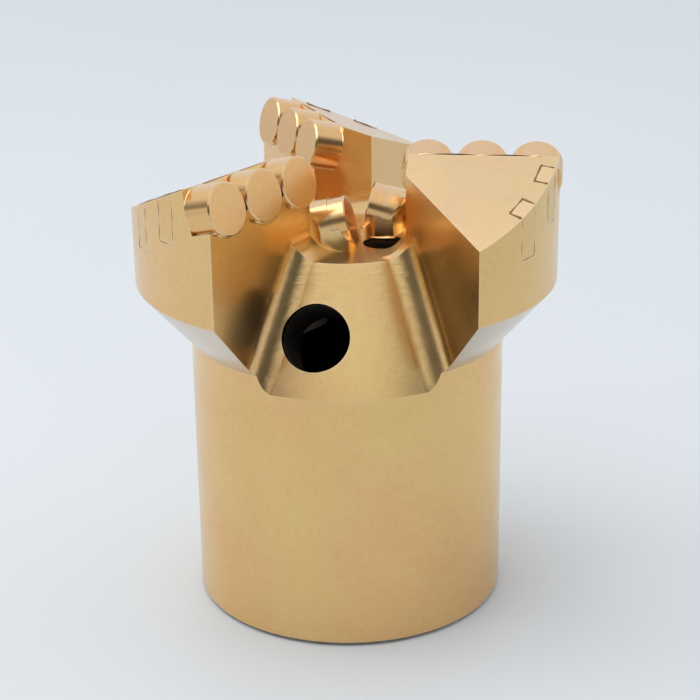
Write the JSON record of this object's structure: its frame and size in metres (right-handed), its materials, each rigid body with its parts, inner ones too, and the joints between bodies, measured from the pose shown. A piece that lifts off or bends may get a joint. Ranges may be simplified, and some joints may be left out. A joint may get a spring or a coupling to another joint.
{
  "type": "pdc drill bit",
  "caption": "Concave winged drag bit with brazed round diamond cutters, gauge inserts, tapered flow channels with nozzle holes and a threaded rod socket in its shank.",
  "frame": {"origin": "centre of the shank's bottom face, on the bit's axis", "axes": "+Z along the bit's axis towards the cutters; wing 1's cutter row runs along +X with its cutters facing +Y, and wings 2 and 3 follow counter-clockwise at 120 degrees"},
  "size_m": [0.1112, 0.1059, 0.1265],
  "materials": {
    "body_steel": "machined, satin bronze-gold coat",
    "cutter": "smooth satin, same coat",
    "carbide_insert": "ground, same coat"
  },
  "bodies": {
    "root": {"bit_body": "body_steel", "cutter_1_outer": "cutter", "cutter_1_middle": "cutter", "cutter_1_inner": "cutter", "cutter_2_outer": "cutter", "cutter_2_middle": "cutter", "cutter_2_inner": "cutter", "cutter_3_outer": "cutter", "cutter_3_middle": "cutter", "cutter_3_inner": "cutter", "cutter_centre_1": "cutter", "cutter_centre_2": "cutter", "gauge_insert_1_front": "carbide_insert", "gauge_insert_1_rear": "carbide_insert", "gauge_insert_2_front": "carbide_insert", "gauge_insert_2_rear": "carbide_insert", "gauge_insert_3_front": "carbide_insert", "gauge_insert_3_rear": "carbide_insert"}
  },
  "joints": []
}
